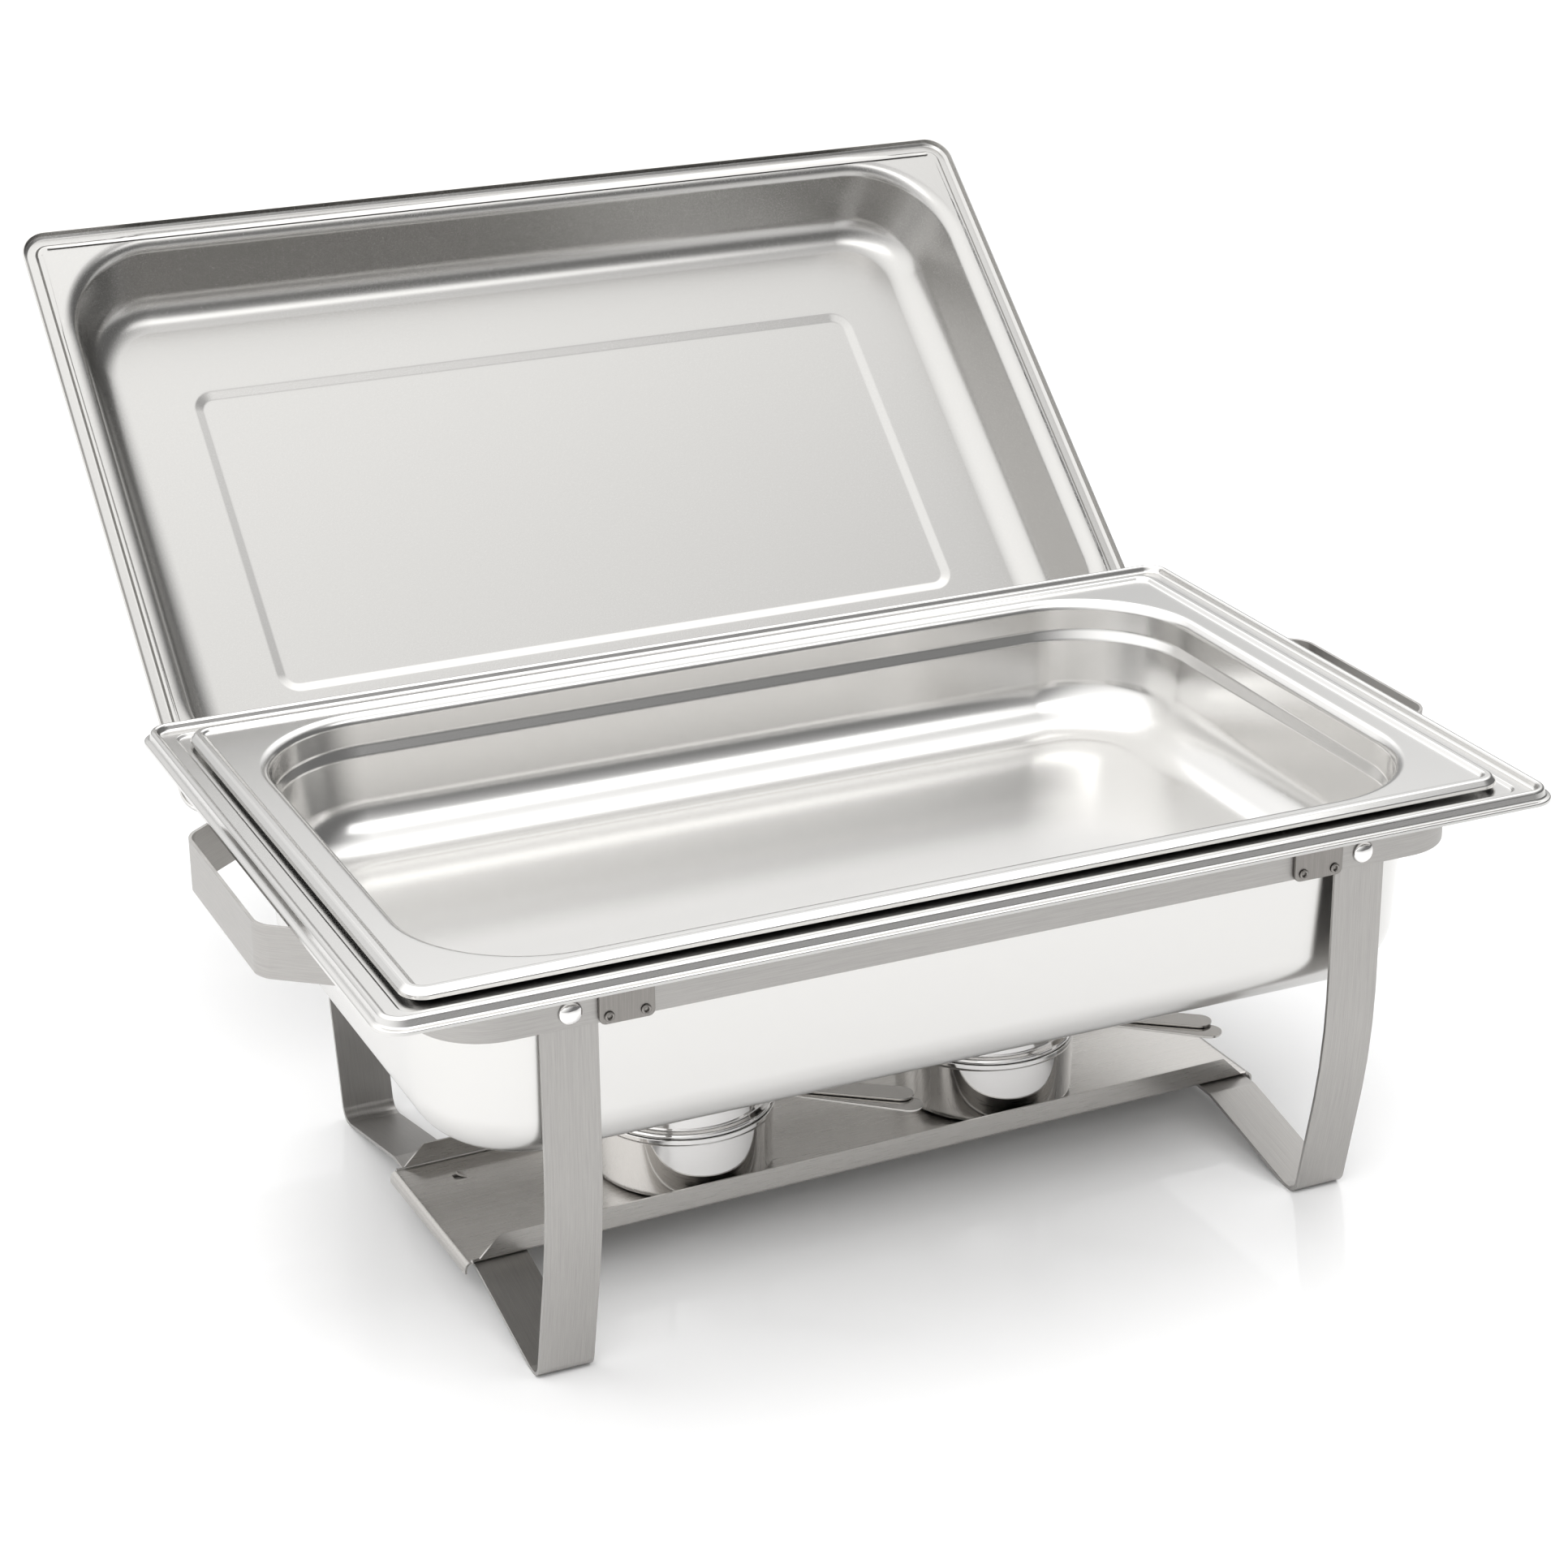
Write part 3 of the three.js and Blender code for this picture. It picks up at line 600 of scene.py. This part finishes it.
class CHAFING_OT_legs(bpy.types.Operator):
    """Leg bands: down, in to a foot, up to the shelf and back down"""
    bl_idname = "chafing.legs"
    bl_label = "Legs"

    def execute(self, context):
        size = context.scene.chafing_straps
        t = size.leg_thickness
        slope = math.tan(math.radians(12.5))
        bend_height, foot_end, shelf_half = 0.084, 0.1255, 0.056
        for end, _ in ENDS:
            node = f"leg_band_{end}"
            half, place = half_size(node), middle(node)
            outer = half.y - t / 2
            foot = outer - (bend_height - t / 2) * slope
            rest = t / 2 + (foot_end - shelf_half) * slope
            line = [(outer, 2 * half.z), (outer, bend_height, 0.25), (foot, t / 2, 0.007),
                    (foot_end, t / 2, 0.006), (shelf_half, rest, 0.009)]
            line += [(-y, z, *bend) for y, z, *bend in reversed(line)]
            bm = bmesh.new()
            draw_wire(bm, [(place.x - half.x, y, z, *bend) for y, z, *bend in line])
            extrude(bm, bm.edges[:], (2 * half.x, 0, 0))
            thicken(bm, t, centred=True)
            finish(bm, f"{node}_strap", f"legs_{end}", "strap_steel", steel("leg"), node)
        return {"FINISHED"}


# ---- Shelf and burners ---------------------------------------------------------------------------

class CHAFING_OT_shelf(bpy.types.Operator):
    """Shelf with turned-up long edges, cut at 45 degrees, rounded end lips and a small hook"""
    bl_idname = "chafing.shelf"
    bl_label = "Shelf"

    def execute(self, context):
        size = context.scene.chafing_shelf
        place = middle("fuel_shelf")
        x, y = size.length / 2 - size.sheet / 2, size.width / 2 - size.sheet / 2
        t, lip, lip_bend, edge_bend = size.sheet, 0.0066, 0.003, 0.0016
        top = level("fuel_shelf") - size.flange
        drop = top - level("fuel_shelf", False)
        bm = bmesh.new()
        draw_wire(bm, [(-x, -y, top - drop), (-x, -y, top - t / 2, lip_bend),
                       (x, -y, top - t / 2, lip_bend), (x, -y, top - drop)])
        extrude(bm, bm.edges[:], (0, 2 * y, 0))
        long_edges = [e for e in bm.edges if len(e.link_faces) == 1
                      and abs(e.verts[0].co.x - e.verts[1].co.x) > x]
        extrude(bm, long_edges, (0, 0, size.flange + t / 2))
        bevel(bm, long_edges, edge_bend, 5)
        cut_x, cut_z = x - lip, top + 0.0006
        for sign in (-1, 1):
            geom = bm.verts[:] + bm.edges[:] + bm.faces[:]
            bmesh.ops.bisect_plane(bm, geom=geom, dist=FLAT, plane_co=(sign * cut_x, 0, cut_z),
                                   plane_no=(sign, 0, 1))
            centres = [(f, f.calc_center_median()) for f in bm.faces]
            corner = [f for f, c in centres
                      if c.z > top + 0.0007 and sign * c.x + c.z > cut_x + cut_z]
            bmesh.ops.delete(bm, geom=corner, context="FACES")
        self.lance(bm, Vector((-0.1825, 0.0295, top - t / 2)))
        thicken(bm, t, centred=True)
        askew = Matrix.Rotation(size.turn, 3, "Z")
        bmesh.ops.rotate(bm, cent=(0, 0, 0), matrix=askew, verts=bm.verts)
        bmesh.ops.translate(bm, verts=bm.verts, vec=(place.x, place.y, 0))
        finish(bm, "fuel_shelf_sheet", "shelf", "shelf_steel", steel("shelf"), "fuel_shelf")
        return {"FINISHED"}

    def lance(self, bm, centre):
        """Cuts a small window in the sheet and turns a tongue up from its right edge."""
        half, tongue_way = Vector((0.0032, 0.0026, 0)), (-0.0045, 0.001, 0.0022)

        def spans(face, axis):
            values = [v.co[axis] for v in face.verts]
            return min(values) < centre[axis] < max(values)

        def window():
            return [f for f in bm.faces if spans(f, 0) and spans(f, 1)
                    and abs(f.calc_center_median().z - centre.z) < 1e-4]

        for axis in (0, 1):
            for sign in (-1, 1):
                way = Vector((0, 0, 0))
                way[axis] = sign
                faces = window()
                edges = [e for f in faces for e in f.edges]
                geom = list(set(faces + edges + [v for f in faces for v in f.verts]))
                bmesh.ops.bisect_plane(bm, geom=geom, dist=FLAT, plane_no=way,
                                       plane_co=centre + way * half[axis])
        hole = window()
        hinge = [e for e in hole[0].edges if all(v.co.x > centre.x for v in e.verts)]
        bmesh.ops.delete(bm, geom=hole, context="FACES_ONLY")
        made = extrude(bm, hinge, tongue_way)
        tip = [g for g in made if isinstance(g, bmesh.types.BMVert)]
        bmesh.ops.scale(bm, vec=(1, 0.45, 1), verts=tip, space=Matrix.Translation(-centre))


class CHAFING_OT_burners(bpy.types.Operator):
    """Fuel cups with their stepped covers and dampers"""
    bl_idname = "chafing.burners"
    bl_label = "Burners"
    plate = 0.0012
    cover_tab, damper_tab, tab_half = 0.118, 0.112, 0.0065
    disc_radius, damper_turn = 0.0257, math.radians(5.2)

    def execute(self, context):
        for end, _ in ENDS:
            centre = middle(f"fuel_cup_{end}")
            joint = next(j for j in frame["joints"] if j["name"] == f"damper_swing_{end}")
            pivot = Vector(joint["pos_m"]) - CENTRE
            way = math.atan2(pivot.y - centre.y, pivot.x - centre.x)
            self.cup(end, centre)
            self.cover(end, centre, way)
            self.damper(end, centre, way, pivot)
        return {"FINISHED"}

    def put(self, bm, centre, way, name, body, material, *nodes):
        turned = Matrix.Rotation(way, 3, "Z")
        bmesh.ops.rotate(bm, cent=(0, 0, 0), matrix=turned, verts=bm.verts)
        bmesh.ops.translate(bm, vec=(centre.x, centre.y, 0), verts=bm.verts)
        finish(bm, name, body, "cup_steel", steel(material), *nodes)

    def cup(self, end, centre):
        node = f"fuel_cup_{end}"
        r, low, high = half_size(node).x, level(node, False), level(node)
        bm = revolve([
            (0, low + 0.0006), (r - 0.007, low + 0.0006), (r - 0.006, low, 0.0006),
            (r - 0.001, low, 0.0045), (r - 0.0004, high - 0.003, 0.002), (r, high - 0.0022, 0.0006),
            (r, high, 0.0004), (r - 0.0012, high), (r - 0.0012, low + 0.0008, 0.004),
            (0, low + 0.0014),
        ], 128)
        self.put(bm, centre, 0, f"{node}_shell", f"cup_{end}", "cup", node)

    def cover(self, end, centre, way):
        node = f"fuel_cover_{end}"
        r, low, high = half_size(f"fuel_cup_{end}").x, level(node, False), level(node)
        bm = revolve([
            (r - 0.0048, low), (r - 0.0006, low, 0.0004), (r - 0.0002, low + 0.0012, 0.0007),
            (r - 0.0008, low + 0.0024, 0.0008), (r - 0.004, low + 0.0026, 0.0008),
            (r - 0.0042, high - 0.0008, 0.0012), (r - 0.0055, high, 0.0008), (0.021, high, 0.0004),
            (0.02, high - 0.001), (r - 0.0065, high - 0.001), (r - 0.0048, high - 0.002),
            (r - 0.0048, low),
        ], 128)
        self.put(bm, centre, way, f"{node}_ring", f"cover_{end}", "cup", node)
        tab = self.tab(self.cover_tab, r - 0.0056, high - self.plate)
        self.put(tab, centre, way, f"{node}_tab", f"cover_{end}", "tab", node)

    def tab(self, length, root, height):
        """Flat tab along +X with a round end"""
        w = self.tab_half
        bm = bmesh.new()
        outline = [(root, -w), (length, -w), (length, w), (root, w)]
        face = bm.faces.new([bm.verts.new((x, y, height + self.plate)) for x, y in outline])
        bevel(bm, [v for v in face.verts if v.co.x > root + 0.001], w * 0.999, 14, "VERTICES")
        bm.normal_update()
        bmesh.ops.solidify(bm, geom=bm.faces[:], thickness=self.plate)
        soften(bm, 0.0003)
        return bm

    def damper(self, end, centre, way, pivot):
        node = f"damper_{end}"
        low, r = level(node, False), self.disc_radius
        high = low + self.plate
        hinge = Vector(((pivot - centre).xy.length, 0, 0))
        swung = Matrix.Rotation(self.damper_turn, 3, "Z")
        disc = revolve([
            (0, low), (r - 0.0004, low), (r, low + 0.0006, 0.0003), (r - 0.0004, high), (0, high),
        ])
        tab = self.tab(self.damper_tab, 0.02, low)
        for bm, name in ((disc, f"{node}_disc"), (tab, f"{node}_tab")):
            bmesh.ops.rotate(bm, cent=hinge, matrix=swung, verts=bm.verts)
            self.put(bm, centre, way, name, node, "tab", node)
        rivet = f"damper_rivet_{end}"
        r, base, top = half_size(rivet).x, level(rivet, False), level(rivet)
        shank, under = 0.0013, low + 0.0014
        head = revolve([
            (0, base), (shank, base), (shank, under), (r, under), (r * 0.95, top - 0.0006, 0.0006),
            (r * 0.5, top, 0.0006), (0, top),
        ], 32)
        bmesh.ops.translate(head, vec=hinge, verts=head.verts)
        self.put(head, centre, way, f"{rivet}_head", f"cover_{end}", "cup", rivet)


# ---- Stage ---------------------------------------------------------------------------------------

AMBIENT = 0.2
# Bright parts of the studio: direction, half angle in degrees of the full glow and of its end,
# strength
GLOWS = (
    ((-0.55, 0, 0.83), 10, 95, 1.6),
    ((0.4, 0.45, 0.8), 8, 42, 1.3),
    ((0.41, 0.84, 0.38), 6, 36, 0.2),
)
FLOOR_HALF = 9
FLOOR_PAINT = (0.92, 0.92, 0.92, 1)
LENS, SENSOR = 80.7, 36                                 # millimetres
CAMERA_PLACE = (-0.65248, -1.3794, 0.81968)             # from the middle of the frame
CAMERA_YAW, CAMERA_PITCH, CAMERA_ROLL = 0.4273, 0.3891, 0.0083


class CHAFING_OT_stage(bpy.types.Operator):
    """Pale floor, soft studio light and the camera"""
    bl_idname = "chafing.stage"
    bl_label = "Stage"

    def execute(self, context):
        self.floor()
        self.world(context.scene)
        self.light("front fill", place=(0, -1, 1.3), turn=(32, 0, 0), length=1.8, width=0.5,
                   power=3, spread=120)
        self.camera(context.scene)
        return {"FINISHED"}

    def floor(self):
        bm = bmesh.new()
        bmesh.ops.create_grid(bm, x_segments=2, y_segments=2, size=FLOOR_HALF)
        mesh = bpy.data.meshes.new("floor")
        bm.to_mesh(mesh)
        bm.free()
        floor = bpy.data.objects.new("floor", mesh)
        bpy.context.scene.collection.objects.link(floor)
        material = bpy.data.materials.new("floor")
        material.use_nodes = True
        shader = material.node_tree.nodes["Principled BSDF"]
        shader.inputs["Base Color"].default_value = FLOOR_PAINT
        shader.inputs["Roughness"].default_value = 0.5
        shader.inputs["Coat Weight"].default_value = 0.5
        shader.inputs["Coat Roughness"].default_value = 0.06
        mesh.materials.append(material)

    def world(self, scene):
        world = bpy.data.worlds.new("studio")
        scene.world = world
        world.use_nodes = True
        nodes, link = world.node_tree.nodes, world.node_tree.links.new
        place = nodes.new("ShaderNodeTexCoord")
        total = None
        for way, inner, outer, strength in GLOWS:
            toward = nodes.new("ShaderNodeVectorMath")
            toward.operation = "DOT_PRODUCT"
            toward.inputs[1].default_value = Vector(way).normalized()
            link(place.outputs["Generated"], toward.inputs[0])
            glow = nodes.new("ShaderNodeMapRange")
            glow.interpolation_type = "SMOOTHSTEP"
            glow.inputs["From Min"].default_value = math.cos(math.radians(outer))
            glow.inputs["From Max"].default_value = math.cos(math.radians(inner))
            glow.inputs["To Max"].default_value = strength
            link(toward.outputs["Value"], glow.inputs["Value"])
            add = nodes.new("ShaderNodeMath")
            add.inputs[1].default_value = AMBIENT
            link(glow.outputs["Result"], add.inputs[0])
            if total:
                link(total, add.inputs[1])
            total = add.outputs[0]
        link(total, nodes["Background"].inputs["Color"])

    def light(self, name, place, turn, length, width, power, spread):
        data = bpy.data.lights.new(name, "AREA")
        data.shape = "RECTANGLE"
        data.size, data.size_y = length, width
        data.energy, data.spread = power, math.radians(spread)
        lamp = bpy.data.objects.new(name, data)
        lamp.location = place
        lamp.rotation_euler = [math.radians(angle) for angle in turn]
        bpy.context.scene.collection.objects.link(lamp)

    def camera(self, scene):
        data = bpy.data.cameras.new("camera")
        data.lens, data.sensor_width = LENS, SENSOR
        camera = bpy.data.objects.new("camera", data)
        camera.location = CENTRE + Vector(CAMERA_PLACE)
        aim = Euler((math.pi / 2 - CAMERA_PITCH, 0, -CAMERA_YAW)).to_matrix()
        camera.rotation_euler = (aim @ Matrix.Rotation(-CAMERA_ROLL, 3, "Z")).to_euler()
        scene.collection.objects.link(camera)
        scene.camera = camera
        scene.view_settings.view_transform = "Standard"


# ---- Panel and registration ----------------------------------------------------------------------

OPERATORS = (CHAFING_OT_water_pan, CHAFING_OT_food_pan, CHAFING_OT_lid, CHAFING_OT_straps,
             CHAFING_OT_joint_plates, CHAFING_OT_rivets, CHAFING_OT_legs, CHAFING_OT_shelf,
             CHAFING_OT_burners, CHAFING_OT_stage)
GROUPS = {"chafing_pans": ChafingPans, "chafing_straps": ChafingStraps,
          "chafing_shelf": ChafingShelf, "chafing_finish": ChafingFinish}


class CHAFING_PT_panel(bpy.types.Panel):
    """Sidebar panel with every step of the build"""
    bl_idname = "CHAFING_PT_panel"
    bl_label = "Chafing Dish"
    bl_space_type = "VIEW_3D"
    bl_region_type = "UI"
    bl_category = "Chafing Dish"

    def draw(self, context):
        for name, group in GROUPS.items():
            box = self.layout.box()
            for prop in group.__annotations__:
                box.prop(getattr(context.scene, name), prop)
        for operator in OPERATORS:
            self.layout.operator(operator.bl_idname)


def register():
    for cls in (*GROUPS.values(), *OPERATORS, CHAFING_PT_panel):
        bpy.utils.register_class(cls)
    for name, group in GROUPS.items():
        setattr(bpy.types.Scene, name, PointerProperty(type=group))


def unregister():
    for name in GROUPS:
        delattr(bpy.types.Scene, name)
    for cls in reversed((*GROUPS.values(), *OPERATORS, CHAFING_PT_panel)):
        bpy.utils.unregister_class(cls)


def main():
    register()
    for operator in OPERATORS:
        getattr(bpy.ops.chafing, operator.bl_idname.split(".")[1])()


if __name__ == "__main__":
    main()
